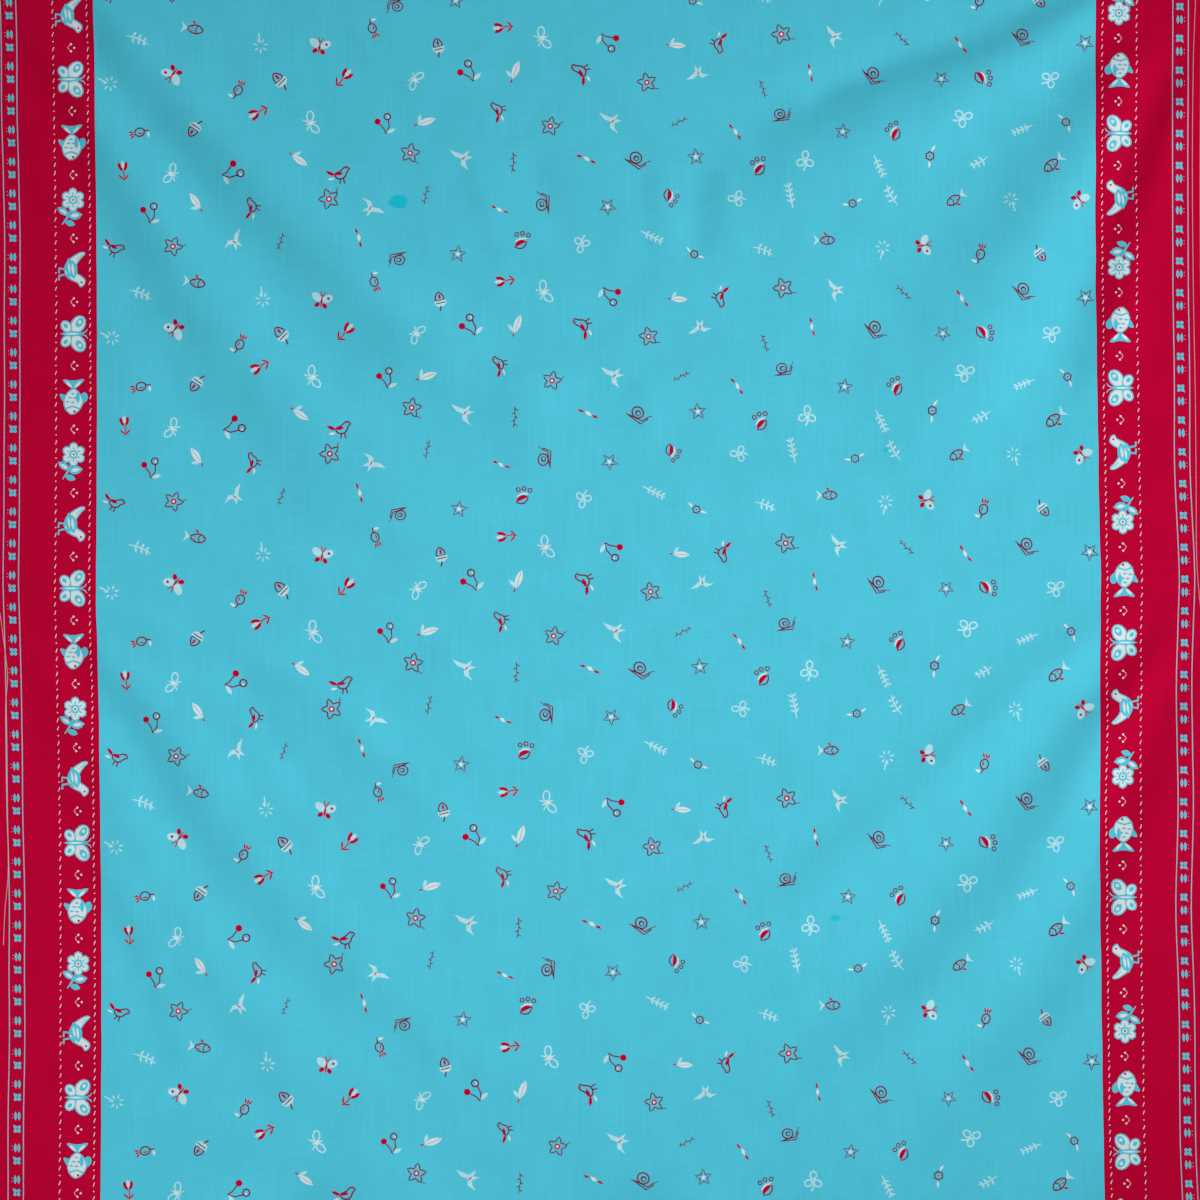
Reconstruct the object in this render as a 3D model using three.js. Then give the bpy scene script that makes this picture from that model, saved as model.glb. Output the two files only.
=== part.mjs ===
// Printed dress cotton, one loom width, hanging from its top edge.
// Millimetres, +Z up, +X to the viewer's right, -Y towards the viewer.
// The origin is the middle of the top edge.
import * as THREE from 'three';
import { mergeVertices } from 'three/addons/utils/BufferGeometryUtils.js';

// The cloth. It was cut 914 mm (36 inches) wide and 1000 mm long, and its folds take up 2 mm each way.
const WIDTH = 912;
const LENGTH = 998;
const WALL = 1.5;

// How it hangs
const LEAN = 7;             // the foot hangs this far to the right of the top edge
const SIDE_HOLD = 474;      // the selvedges are drawn out again this far below the top edge
const SCALLOP = 2.5;        // between held points a selvedge draws in this far
const BILLOW = 15;          // the middle stands this far forward of the selvedges
const BILLOW_FULL = 260;    // the billow is whole from here down
const CORNER_FLAT = 42;     // the top corners lie flat where they are held, this far from both edges
const CORNER_BLEND = 60;    // and the folds reach their full height over this distance

// The loose foot, below the last of the held points. Its waves start this far below the top edge
// and are highest at the cut edge. `wave` is from one crest to the next.
const FOOT_TOP = 880;
const FOOT_WAVES = [
  { wave: 205, crestAt: -160, rise: 4 },
  { wave: 118, crestAt: 60, rise: 3 },
];

// Fineness of the surface
const CELLS_ACROSS = 46;
const CELLS_DOWN = 50;
const CORNERS_PER_CELL = 6; // two triangles
const CURVE_STEPS = 24;

// The folds. `path` is the [x, z] places that a fold passes, from where it starts to where it fades
// out. `slim` and `broad` are its half-widths at the two ends. A ridge has a rise above 0 and stands
// towards the viewer. A valley's rise is below 0.
const FOLDS = [
  // From the top left corner, the highest first
  { slim: 14, broad: 38, rise: -3.6,
    path: [[-430, -8], [-373, -101], [-299, -182], [-229, -265], [-150, -340]] },
  { slim: 16, broad: 35, rise: 3.9,
    path: [[-412, -4], [-319, -104], [-225, -204], [-124, -296], [-20, -385]] },
  { slim: 14, broad: 46, rise: 4.7,
    path: [[-440, -10], [-366, -142], [-287, -273], [-182, -383], [-50, -455]] },
  // From the top right corner, the highest first
  { slim: 12, broad: 22, rise: -2.9,
    path: [[440, -2], [342, -37], [243, -72], [148, -116], [43, -149]] },
  { slim: 14, broad: 39, rise: 5.8,
    path: [[442, -6], [359, -53], [278, -102], [193, -145], [94, -183]] },
  { slim: 18, broad: 47, rise: -2.1,
    path: [[446, -10], [366, -86], [293, -168], [224, -254], [150, -335]] },
  { slim: 14, broad: 56, rise: 5,
    path: [[450, -14], [391, -108], [337, -204], [278, -299], [214, -393]] },
  { slim: 14, broad: 33, rise: -3,
    path: [[454, -30], [417, -121], [380, -212], [346, -305], [308, -400]] },
  { slim: 12, broad: 22, rise: 3.3,
    path: [[456, -70], [431, -144], [406, -220], [390, -295], [365, -370]] },
  // From the left selvedge at half height, the highest first
  { slim: 12, broad: 24, rise: 2.9,
    path: [[-444, -472], [-341, -502], [-228, -546], [-144, -624], [-60, -702]] },
  { slim: 15, broad: 38, rise: 3.6,
    path: [[-444, -472], [-345, -556], [-277, -656], [-191, -746], [-85, -815]] },
  { slim: 15, broad: 34, rise: -2.5,
    path: [[-449, -476], [-363, -574], [-310, -674], [-212, -786], [-105, -860]] },
  { slim: 12, broad: 34, rise: 2,
    path: [[-452, -480], [-385, -594], [-327, -712], [-243, -814], [-140, -896]] },
  // From the right selvedge at half height, the highest first
  { slim: 14, broad: 23, rise: 2.7,
    path: [[446, -474], [346, -532], [262, -611], [176, -689], [80, -754]] },
  { slim: 14, broad: 30, rise: -2.8,
    path: [[448, -478], [359, -564], [285, -663], [209, -761], [115, -843]] },
  { slim: 12, broad: 32, rise: 3.6,
    path: [[452, -482], [379, -588], [317, -701], [233, -799], [135, -882]] },
  { slim: 10, broad: 34, rise: -2.4,
    path: [[456, -500], [406, -612], [355, -724], [280, -834], [195, -910]] },
  // A soft ridge left of the middle, where the upper fans meet
  { slim: 20, broad: 33, rise: 2.1,
    path: [[-54, -308], [-47, -350], [-26, -405]] },
];

const smooth = (edge0, edge1, x) => THREE.MathUtils.smoothstep(x, edge0, edge1);

// The points along a fold, on a smooth curve through its path, with the half-width and rise at each.
function traceFold({ path, slim, broad, rise }) {
  const curve = new THREE.SplineCurve(path.map(([x, z]) => new THREE.Vector2(x, z)));
  return curve.getPoints(CURVE_STEPS).map((place, i) => {
    const t = i / CURVE_STEPS;
    return {
      x: place.x,
      z: place.y,
      halfWidth: THREE.MathUtils.lerp(slim, broad, t),
      rise: rise * smooth(0, 0.2, t) * (1 - smooth(0.72, 1, t)),
    };
  });
}

const TRACED_FOLDS = FOLDS.map(traceFold);

// How far one fold lifts the point (x, z): a soft bell across the fold, at its nearest place.
function foldRise(steps, x, z) {
  let nearest = Infinity;
  let rise = 0;
  for (let i = 0; i < CURVE_STEPS; i += 1) {
    const a = steps[i];
    const b = steps[i + 1];
    const dx = b.x - a.x;
    const dz = b.z - a.z;
    const along = ((x - a.x) * dx + (z - a.z) * dz) / (dx * dx + dz * dz);
    const t = THREE.MathUtils.clamp(along, 0, 1);
    const distance = Math.hypot(x - a.x - t * dx, z - a.z - t * dz);
    if (distance < nearest) {
      nearest = distance;
      const halfWidth = THREE.MathUtils.lerp(a.halfWidth, b.halfWidth, t);
      rise = THREE.MathUtils.lerp(a.rise, b.rise, t) * Math.exp(-((distance / halfWidth) ** 2));
    }
  }
  return rise;
}

// How far the waves lift the cut edge at the foot.
function footRise(x) {
  return FOOT_WAVES.reduce(
    (sum, { wave, crestAt, rise }) => sum + rise * Math.cos((2 * Math.PI * (x - crestAt)) / wave),
    0,
  );
}

// How far the cloth stands towards the viewer at (x, z).
function lift(x, z) {
  const drop = -z;
  const billow = BILLOW * Math.cos((Math.PI * x) / WIDTH) * smooth(0, BILLOW_FULL, drop);
  const folds = TRACED_FOLDS.reduce((sum, steps) => sum + foldRise(steps, x, z), 0);
  const foot = footRise(x) * smooth(FOOT_TOP, LENGTH, drop);
  const fromCorner = Math.max(WIDTH / 2 - Math.abs(x), drop);
  return (billow + folds + foot) * smooth(CORNER_FLAT, CORNER_FLAT + CORNER_BLEND, fromCorner);
}

// How far the cloth lies to the right of where it would hang square.
function sideways(x, z) {
  const drawIn = Math.abs(Math.sin((Math.PI * z) / SIDE_HOLD));
  return (-LEAN * z) / LENGTH - (SCALLOP * drawIn * x) / (WIDTH / 2);
}

// Gives each cell the diagonal that runs with the folds, down and towards the middle.
function turnDiagonals(block) {
  const index = block.getIndex();
  const points = block.getAttribute('position');
  for (let i = 0; i < index.count; i += CORNERS_PER_CELL) {
    const [a, b, d, , c] = index.array.slice(i, i + CORNERS_PER_CELL);
    const slant = (points.getX(d) - points.getX(b)) * (points.getZ(d) - points.getZ(b));
    const side = points.getX(b) + points.getX(d);
    if (slant * side < 0) {
      index.array.set([a, b, c, a, c, d], i);
    }
  }
}

// One wall of cloth: a thin block of square cells, with every point moved to where the cloth hangs.
function clothGeometry() {
  const block = new THREE.BoxGeometry(WIDTH, WALL, LENGTH, CELLS_ACROSS, 1, CELLS_DOWN);
  block.translate(0, 0, -LENGTH / 2);
  turnDiagonals(block);
  block.deleteAttribute('normal');
  block.deleteAttribute('uv');
  const wall = mergeVertices(block);
  const points = wall.getAttribute('position');
  for (let i = 0; i < points.count; i += 1) {
    const x = points.getX(i);
    const z = points.getZ(i);
    points.setX(i, x + sideways(x, z));
    points.setY(i, points.getY(i) - lift(x, z));
  }
  wall.computeVertexNormals();
  return wall;
}

const printedCotton = new THREE.MeshStandardMaterial({
  color: 0x4bbfd3,
  roughness: 0.85,
  metalness: 0,
});

const cloth = new THREE.Mesh(clothGeometry(), printedCotton);
cloth.name = 'cloth';

const hungLength = new THREE.Group();
hungLength.add(cloth);

export default hungLength;
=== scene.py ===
"""A hung length of printed dress cotton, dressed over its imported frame.

The cloth is one woven sheet. Its print is drawn flat, in millimetres, on the cloth as it was cut:
u runs across to the viewer's right from the middle, and v runs up from the top edge, so every place
on the cloth has v below 0. The printed sheet is then cut into triangles along the edges of its inks
and moved to where the cloth hangs.
"""
import math
import random
from collections import namedtuple

import bpy
import numpy as np
from bpy.props import FloatProperty, FloatVectorProperty, IntProperty, PointerProperty
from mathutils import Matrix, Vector, noise
from mathutils.geometry import delaunay_2d_cdt


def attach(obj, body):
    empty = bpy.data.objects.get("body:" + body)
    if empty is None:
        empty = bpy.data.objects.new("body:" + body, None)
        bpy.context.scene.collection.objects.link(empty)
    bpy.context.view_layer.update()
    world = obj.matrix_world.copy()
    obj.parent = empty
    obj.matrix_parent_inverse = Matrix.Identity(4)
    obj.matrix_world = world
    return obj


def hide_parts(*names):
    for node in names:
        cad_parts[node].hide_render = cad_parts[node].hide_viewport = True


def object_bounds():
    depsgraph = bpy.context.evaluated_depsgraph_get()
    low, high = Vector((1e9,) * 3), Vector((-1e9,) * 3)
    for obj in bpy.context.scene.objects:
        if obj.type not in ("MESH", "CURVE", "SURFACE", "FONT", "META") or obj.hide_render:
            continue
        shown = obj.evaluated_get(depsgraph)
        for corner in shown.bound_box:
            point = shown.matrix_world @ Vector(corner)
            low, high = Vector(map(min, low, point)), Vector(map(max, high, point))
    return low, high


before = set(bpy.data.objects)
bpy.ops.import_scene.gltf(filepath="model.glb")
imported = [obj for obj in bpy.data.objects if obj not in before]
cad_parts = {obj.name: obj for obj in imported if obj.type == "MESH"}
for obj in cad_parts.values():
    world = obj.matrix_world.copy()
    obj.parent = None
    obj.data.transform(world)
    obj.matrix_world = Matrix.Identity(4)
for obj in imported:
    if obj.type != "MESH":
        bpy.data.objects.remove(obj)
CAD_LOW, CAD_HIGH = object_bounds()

bl_info = {
    "name": "Printed cotton length",
    "version": (1, 0, 0),
    "blender": (4, 5, 0),
    "location": "3D View > Sidebar > Cotton",
    "description": "Builds a hung length of printed cotton with a border down each selvedge",
    "category": "Add Mesh",
}

MM = 0.001
TURN = 2 * math.pi

# The inks, in the order of the cloth's material slots. The same inks follow for the reverse side.
INKS = ("turquoise", "crimson", "fine_crimson", "white", "thin_white", "pale_blue", "cream")
BLUE, RED, FINE, WHITE, THIN, PALE, CREAM = INKS


# Sizes and colours that a user would change

def measure(name, description, default, unit="LENGTH"):
    return FloatProperty(name=name, description=description, default=default, unit=unit)


def colour(name, description, default):
    return FloatVectorProperty(
        name=name, description=description, default=default, subtype="COLOR", size=3, min=0, max=1)


class ClothSettings(bpy.types.PropertyGroup):
    """The cloth as it was cut, and how it hangs"""

    cut_width: measure("Cut width", "From selvedge to selvedge, laid flat", 0.9144)
    cut_length: measure("Cut length", "From one cut end to the other, laid flat", 1.0)
    hung_width: measure("Hung width", "From selvedge to selvedge at the held edge", 0.912)
    hung_length: measure("Hung length", "From the held edge to the foot", CAD_HIGH.z - CAD_LOW.z)
    thickness: measure("Thickness", "Thickness of the woven cotton", 0.0004)
    lean: measure("Lean", "How far the foot hangs to the right of the held edge", 0.007)
    side_hold: measure("Side hold", "The selvedges are drawn out this far down", 0.474)
    scallop: measure("Scallop", "How far a selvedge draws in between held points", 0.0025)
    billow: measure("Billow", "How far the middle stands forward of the selvedges", 0.015)
    billow_full: measure("Billow full", "The billow is whole from this far down", 0.26)
    corner_flat: measure("Corner flat", "The held corners lie flat this far from both edges", 0.042)
    corner_blend: measure("Corner blend", "Folds reach their full height over this distance", 0.06)
    foot_top: measure("Foot top", "Waves at the foot start this far down", 0.88)
    cell: measure("Cell", "Spacing of the points between the printed outlines", 0.0095)


class PrintSettings(bpy.types.PropertyGroup):
    """Inks and repeat of the print"""

    repeat: measure("Repeat", "The print repeats after this length", 0.1914)
    seed: IntProperty(
        name="Seed", description="Draws the turns and small shifts of the scattered motifs",
        default=11)
    turquoise: colour("Turquoise", "Ground of the field", (0.074, 0.515, 0.66))
    crimson: colour("Crimson", "Ground of the borders, and solid shapes", (0.45, 0.0, 0.030))
    fine_crimson: colour("Fine crimson", "Lines over turquoise, darker for it", (0.17, 0.0, 0.032))
    white: colour("White", "Full white motifs", (0.66, 0.70, 0.71))
    thin_white: colour("Thin white", "White that lets the ground show through", (0.42, 0.69, 0.75))
    pale_blue: colour("Pale blue", "Fine lines along the borders", (0.23, 0.44, 0.60))
    cream: colour("Cream", "Fine stalks and dots in the borders", (0.74, 0.42, 0.36))
    undyed: colour("Undyed cotton", "Shows through on the reverse side", (0.72, 0.75, 0.74))


class StageSettings(bpy.types.PropertyGroup):
    """Camera, floor and lights"""

    camera_distance: measure("Camera distance", "From the cloth to the camera", 4.5)
    view_width: measure("View width", "Width of the cloth that fills the picture", 0.9010)
    view_right: measure("View right", "Middle of the picture, right of the cloth's middle", 0.0045)
    view_drop: measure("View drop", "Middle of the picture, below the held edge", 0.4874)
    floor_drop: measure("Floor drop", "Floor below the foot of the cloth", 0.30)
    key_power: measure("Key power", "Soft light from the right", 13.1, "POWER")
    fill_power: measure("Fill power", "Soft light from the front", 7.6, "POWER")
    back_power: measure("Back power", "Soft light on the reverse side", 8.5, "POWER")
    room_light: FloatProperty(
        name="Room light", description="Strength of the pale surroundings", default=0.15)


# How the cloth hangs

# One fold, in millimetres. Its path is the (x, z) places that it passes, from where it starts to
# where it fades out. Its half-width goes from slim to broad. It stands towards the viewer by rise,
# or away if below 0.
Fold = namedtuple("Fold", "path slim broad rise")

FOLDS = [Fold(*row) for row in (
    # From the top left corner, the highest first
    (((-430, -8), (-340, -60), (-270, -104), (-224, -162)), 8, 20, 0.6),
    (((-430, -8), (-373, -101), (-299, -182), (-229, -265), (-150, -340)), 14, 38, -3.6),
    (((-412, -4), (-319, -104), (-225, -204), (-124, -296), (-20, -385)), 16, 35, 3.9),
    (((-450, -24), (-400, -139), (-344, -254), (-284, -360), (-180, -430)), 14, 40, -1.4),
    (((-440, -10), (-366, -142), (-287, -273), (-182, -383), (-50, -455)), 14, 46, 4.7),
    (((-452, -60), (-372, -270), (-318, -410)), 16, 27, 0.6),
    # From the top right corner, the highest first
    (((440, -2), (342, -37), (243, -72), (148, -116), (43, -149)), 12, 22, -2.9),
    (((442, -6), (359, -53), (278, -102), (193, -145), (94, -183)), 14, 39, 5.8),
    (((330, -60), (230, -82), (150, -121)), 8, 14, -1.4),
    (((446, -10), (366, -86), (293, -168), (224, -254), (150, -335)), 18, 47, -2.1),
    (((450, -14), (391, -108), (337, -204), (278, -299), (214, -393)), 14, 56, 5),
    (((454, -30), (417, -121), (380, -212), (346, -305), (308, -400)), 14, 33, -3),
    (((456, -70), (431, -144), (406, -220), (390, -295), (365, -370)), 12, 22, 3.3),
    # From the left selvedge at half height, the highest first
    (((-444, -472), (-341, -502), (-228, -546), (-144, -624), (-60, -702)), 12, 24, 2.9),
    (((-330, -490), (-271, -539), (-240, -598), (-188, -665), (-140, -725)), 11, 12, -1),
    (((-350, -505), (-262, -595), (-240, -629), (-217, -660), (-188, -693)), 9, 14, 0.6),
    (((-444, -472), (-345, -556), (-277, -656), (-191, -746), (-85, -815)), 15, 38, 3.6),
    (((-449, -476), (-363, -574), (-310, -674), (-212, -786), (-105, -860)), 15, 34, -2.5),
    (((-452, -480), (-385, -594), (-327, -712), (-243, -814), (-140, -896)), 12, 34, 2),
    (((-454, -486), (-395, -608), (-332, -720), (-273, -838), (-181, -933)), 11, 25, -1.1),
    (((-454, -492), (-407, -613), (-349, -730), (-296, -848), (-205, -940)), 14, 22, 0.8),
    (((-455, -500), (-400, -660), (-361, -745), (-343, -785), (-322, -845)), 14, 14, -1.8),
    # From the right selvedge at half height, the highest first
    (((446, -474), (346, -532), (262, -611), (176, -689), (80, -754)), 14, 23, 2.7),
    (((448, -478), (359, -564), (285, -663), (209, -761), (115, -843)), 14, 30, -2.8),
    (((452, -482), (379, -588), (317, -701), (233, -799), (135, -882)), 12, 32, 3.6),
    (((456, -500), (406, -612), (355, -724), (280, -834), (195, -910)), 10, 34, -2.4),
    (((457, -560), (417, -662), (376, -763), (317, -851), (250, -940)), 11, 34, 1.8),
    # Slack between the fans, and small puckers at the middle
    (((-92, -160), (-79, -200), (-60, -242)), 12, 14, 1),
    (((-50, -145), (-35, -195), (-23, -244)), 14, 20, -1.1),
    (((-54, -308), (-47, -350), (-26, -405)), 20, 33, 2.1),
    (((34, -165), (34, -191), (38, -240)), 7, 9, -0.7),
    (((52, -160), (51, -199), (52, -238)), 10, 10, 0.5),
    (((78, -160), (77, -195), (76, -234)), 13, 12, -1.6),
    (((101, -165), (101, -195), (107, -228)), 11, 14, 0.9),
    (((34, -318), (37, -350), (43, -376)), 9, 11, 0.7),
    (((-130, -523), (-90, -555), (-40, -572), (17, -588)), 14, 15, 1),
    (((170, -890), (119, -930), (60, -960)), 14, 21, 1),
    (((-160, -790), (-103, -826), (-40, -860), (23, -879)), 15, 18, 0.8),
)]

# Waves across the loose foot: from crest to crest, the place of a crest, and its rise
FOOT_WAVES = ((205, -160, 4), (118, 60, 3))

CURVE_STEPS = 24
FOLD_REACH = 3.0    # a fold is felt this many half-widths from its line
SLOPE_STEP = 0.5    # slopes are measured over this distance


def fade(low, high, value):
    """0 below low, 1 above high and a soft step between them."""
    t = np.clip((value - low) / (high - low), 0, 1)
    return t * t * (3 - 2 * t)


def trace_path(points, steps):
    """Places on a smooth curve through the points, from the first to the last."""
    t = np.linspace(0, 1, steps + 1)
    last = len(points) - 1
    leg = np.minimum((t * last).astype(int), last - 1)
    w = (t * last - leg)[:, None]
    begin, end = points[leg], points[leg + 1]
    leave = (end - points[np.maximum(leg - 1, 0)]) / 2
    arrive = (points[np.minimum(leg + 2, last)] - begin) / 2
    bent = (2 * begin - 2 * end + leave + arrive) * w**3
    return bent + (3 * end - 3 * begin - 2 * leave - arrive) * w**2 + leave * w + begin


def trace_fold(fold):
    """Places along a fold, with its half-width and rise at each."""
    line = trace_path(np.array(fold.path, float), CURVE_STEPS)
    t = np.linspace(0, 1, CURVE_STEPS + 1)
    half_width = fold.slim + (fold.broad - fold.slim) * t
    rise = fold.rise * fade(0, 0.2, t) * (1 - fade(0.72, 1, t))
    return line, half_width, rise


def fold_rise(fold, places):
    """How far one fold lifts each place: a soft bell across it, at its nearest point."""
    line, half_width, rise = trace_fold(fold)
    reach = FOLD_REACH * half_width.max()
    felt = np.flatnonzero(
        ((places > line.min(0) - reach) & (places < line.max(0) + reach)).all(1))
    near = places[felt]
    nearest = np.full(len(near), np.inf)
    found = np.zeros(len(near))
    for a, b, wide_a, wide_b, rise_a, rise_b in zip(
            line, line[1:], half_width, half_width[1:], rise, rise[1:]):
        run = b - a
        t = np.clip((near - a) @ run / (run @ run), 0, 1)
        distance = np.linalg.norm(near - a - t[:, None] * run, axis=1)
        closer = distance < nearest
        nearest[closer] = distance[closer]
        width = wide_a + (wide_b - wide_a) * t
        bell = (rise_a + (rise_b - rise_a) * t) * np.exp(-((distance / width) ** 2))
        found[closer] = bell[closer]
    lifted = np.zeros(len(places))
    lifted[felt] = found
    return lifted


def lift(cloth, places):
    """How far the cloth stands towards the viewer at (x, z) places, all in millimetres."""
    x, drop = places[:, 0], -places[:, 1]
    width = cloth.hung_width / MM
    billow = (cloth.billow / MM) * np.cos(math.pi * x / width)
    billow = billow * fade(0, cloth.billow_full / MM, drop)
    folds = sum(fold_rise(fold, places) for fold in FOLDS)
    foot = sum(rise * np.cos(TURN * (x - crest) / wave) for wave, crest, rise in FOOT_WAVES)
    foot = foot * fade(cloth.foot_top / MM, cloth.hung_length / MM, drop)
    flat = cloth.corner_flat / MM
    from_corner = np.maximum(width / 2 - np.abs(x), drop)
    return (billow + folds + foot) * fade(flat, flat + cloth.corner_blend / MM, from_corner)


def hang(cloth, flat):
    """Where flat (u, v) places hang, and which way the printed face looks there. In metres."""
    stretch = np.array([cloth.hung_width / cloth.cut_width, cloth.hung_length / cloth.cut_length])
    square = flat * stretch
    x, z = square.T
    height = lift(cloth, square)
    slope_x = (lift(cloth, square + [SLOPE_STEP, 0]) - height) / SLOPE_STEP
    slope_z = (lift(cloth, square + [0, SLOPE_STEP]) - height) / SLOPE_STEP
    draw_in = np.abs(np.sin(math.pi * z / (cloth.side_hold / MM)))
    right = -z * cloth.lean / cloth.hung_length
    right = right - (cloth.scallop / MM) * draw_in * x / (cloth.hung_width / MM / 2)
    hung = np.stack([x + right, -height, z], axis=1) * MM
    facing = np.stack([-slope_x, -np.ones(len(x)), -slope_z], axis=1)
    return hung, facing / np.linalg.norm(facing, axis=1)[:, None]


# Drawing tools for the print. A shape is an ink and its outline. Later shapes lie over earlier ones.

LINE = 0.95             # width of the drawn lines


def turned(points, degrees, x=0.0, y=0.0, size=1.0):
    """The points turned about the origin, scaled and moved to (x, y)."""
    c, s = math.cos(math.radians(degrees)) * size, math.sin(math.radians(degrees)) * size
    return [(x + c * px - s * py, y + s * px + c * py) for px, py in points]


def placed(shapes, degrees, x=0.0, y=0.0, size=1.0):
    return [(ink, turned(points, degrees, x, y, size)) for ink, points in shapes]


def rounded(points):
    """The outline with each corner cut in two."""
    cut = []
    for (ax, ay), (bx, by) in zip(points, points[1:] + points[:1]):
        cut += [(ax * 0.75 + bx * 0.25, ay * 0.75 + by * 0.25),
                (ax * 0.25 + bx * 0.75, ay * 0.25 + by * 0.75)]
    return cut


def all_round(sides):
    """Evenly spaced directions, from +x anticlockwise, as angle, cosine and sine."""
    angles = [TURN * i / sides for i in range(sides)]
    return [(a, math.cos(a), math.sin(a)) for a in angles]


def oval(x, y, rx, ry=None, turn=0.0, sides=8):
    """An oval round (x, y), turned by so many degrees."""
    ry = rx if ry is None else ry
    return turned([(rx * c, ry * s) for _, c, s in all_round(sides)], turn, x, y)


def dot(x, y, radius, sides):
    return oval(x, y, radius, sides=sides)


def lobed(radius, depth, lobes, sides=20):
    """A round outline with so many lobes."""
    reach = [(radius + depth * math.cos(lobes * a), c, s) for a, c, s in all_round(sides)]
    return [(r * c, r * s) for r, c, s in reach]


def leaf(x0, y0, x1, y1, width, sides=3):
    """A leaf with its points at (x0, y0) and (x1, y1)."""
    dx, dy = x1 - x0, y1 - y0
    length = math.hypot(dx, dy)
    nx, ny = -dy / length * width / 2, dx / length * width / 2
    right, left = [], []
    for i in range(1, sides + 1):
        t = i / (sides + 1)
        bulge = math.sin(math.pi * t) ** 0.8
        right.append((x0 + dx * t - nx * bulge, y0 + dy * t - ny * bulge))
        left.append((x0 + dx * t + nx * bulge, y0 + dy * t + ny * bulge))
    return [(x0, y0)] + right + [(x1, y1)] + left[::-1]


def brush(points, width, tip=0.4):
    """A stroke along the points, as wide as width and narrowed to tip of it at both ends."""
    left, right = [], []
    last = len(points) - 1
    for i, (x, y) in enumerate(points):
        (ax, ay), (bx, by) = points[max(i - 1, 0)], points[min(i + 1, last)]
        length = math.hypot(bx - ax, by - ay)
        half = width / 2 * (tip if i in (0, last) else 1)
        nx, ny = -(by - ay) / length * half, (bx - ax) / length * half
        left.append((x + nx, y + ny))
        right.append((x - nx, y - ny))
    return right + left[::-1]


def anticlockwise(points):
    """The outline, turned to run anticlockwise."""
    area = sum(ax * by - bx * ay for (ax, ay), (bx, by) in zip(points, points[1:] + points[:1]))
    return points if area > 0 else points[::-1]


def inset(points, width):
    """The outline moved inwards by width."""
    points = anticlockwise(points)
    moved = []
    before, after = points[-1:] + points[:-1], points[1:] + points[:1]
    for (ax, ay), (x, y), (bx, by) in zip(before, points, after):
        length = math.hypot(bx - ax, by - ay)
        moved.append((x - (by - ay) / length * width, y + (bx - ax) / length * width))
    return moved


def line_round(points, width=LINE, ink=FINE):
    """A line round an outline, with bare turquoise inside it."""
    return [(ink, points), (BLUE, inset(points, width))]


def small_ring(x, y, radius, width=0.75):
    return [(FINE, oval(x, y, radius)), (BLUE, dot(x, y, radius - width, 6))]


# Motifs scattered over the field, each about 15 mm across

def daisy():
    yield from line_round(lobed(5.6, 1.7, 5))
    yield RED, dot(0, 0, 2.2, 7)
    yield WHITE, dot(0, 0, 1.1, 5)
    yield FINE, brush([(2.6, -6), (5.2, -8)], 1, 0.6)


def songbird():
    body = [(7.8, 2.4), (5.6, 4.8), (3, 4.2), (0.6, 2), (-3.4, 1), (-3.2, -2.2), (0, -4),
            (3.8, -3), (5.6, 0.8)]
    yield RED, leaf(-2.6, -0.6, -8.8, 2.8, 2.4, 2)
    yield WHITE, leaf(-3, -2.4, -8.2, -2.8, 1.6, 1)
    yield from line_round(rounded(body))
    yield RED, leaf(2.8, 0.4, -3.6, 0.2, 2.4, 2)
    yield FINE, brush([(0.4, -3.4), (-0.4, -6.4)], 0.9, 1)
    yield FINE, brush([(2.4, -3.4), (2.8, -6.4)], 0.9, 1)
    yield RED, dot(4.9, 2.9, 0.6, 4)


def swallow():
    wings = [(0.6, 1.6), (3.4, 4.6), (8.8, 5.8), (4.8, 2), (2.4, -0.6), (3.2, -5.8), (0.5, -2.4),
             (-2, -6), (-1.6, -0.6), (-4.6, 0.6), (-8.8, 0), (-3.4, 3.4)]
    yield THIN, wings
    yield RED, leaf(-0.8, 2.4, 0.8, -2.2, 0.9, 1)


def fern():
    stem = [(-6.2, -4.6), (-3, -1.4), (0.2, 0.9), (3.4, 2.8), (7, 4)]
    yield THIN, brush(stem, 1)
    for i, (x, y) in enumerate(stem[1:4]):
        long = 4.2 - 0.6 * i
        yield THIN, leaf(x, y, x - long * 0.35, y + long, 1.7, 1)
        yield THIN, leaf(x, y, x + long, y - long * 0.55, 1.7, 1)


def tulip():
    yield RED, brush([(0, -0.5), (0.5, -3.8), (-0.3, -7.6)], 0.85, 1)
    yield RED, leaf(0, -7, -4.2, -2.4, 1.4, 2)
    yield RED, leaf(0, -7, 3.8, -3.2, 1.3, 2)
    yield RED, leaf(-0.6, -1, -3.2, 6.4, 3, 2)
    yield RED, leaf(0.6, -1, 3.2, 6.4, 3, 2)
    yield THIN, leaf(0, 0.6, 0, 7.4, 2.8, 2)


def acorn():
    nut = rounded([(-3.6, 0.6), (-3.4, -3.4), (0, -7), (3.4, -3.4), (3.6, 0.6)])
    cap = [(-4.4, 0.2), (4.4, 0.2), (3.8, 3), (1.4, 4.4), (-1.4, 4.4), (-3.8, 3)]
    yield from line_round(nut)
    yield RED, leaf(-0.4, -5, -0.2, -0.4, 1.8, 2)
    yield THIN, cap
    yield FINE, brush([(-3.4, 1.8), (3.4, 1.8)], 0.7, 1)
    yield FINE, brush([(0.2, 4), (1.8, 7.4)], 1, 1)


def cherries():
    yield FINE, brush([(-3.8, -1.2), (-1.6, 3.6), (2.8, 6.4)], 0.85, 1)
    yield FINE, brush([(3.2, -1.8), (2.2, 2.6), (2.8, 6.4)], 0.85, 1)
    yield from small_ring(-4.2, -3.6, 2.9, LINE)
    yield WHITE, dot(-4.8, -3, 0.8, 5)
    yield RED, dot(3.6, -4, 2.3, 8)
    yield THIN, leaf(2.2, 6, -5, 7, 2.9, 2)


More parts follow.
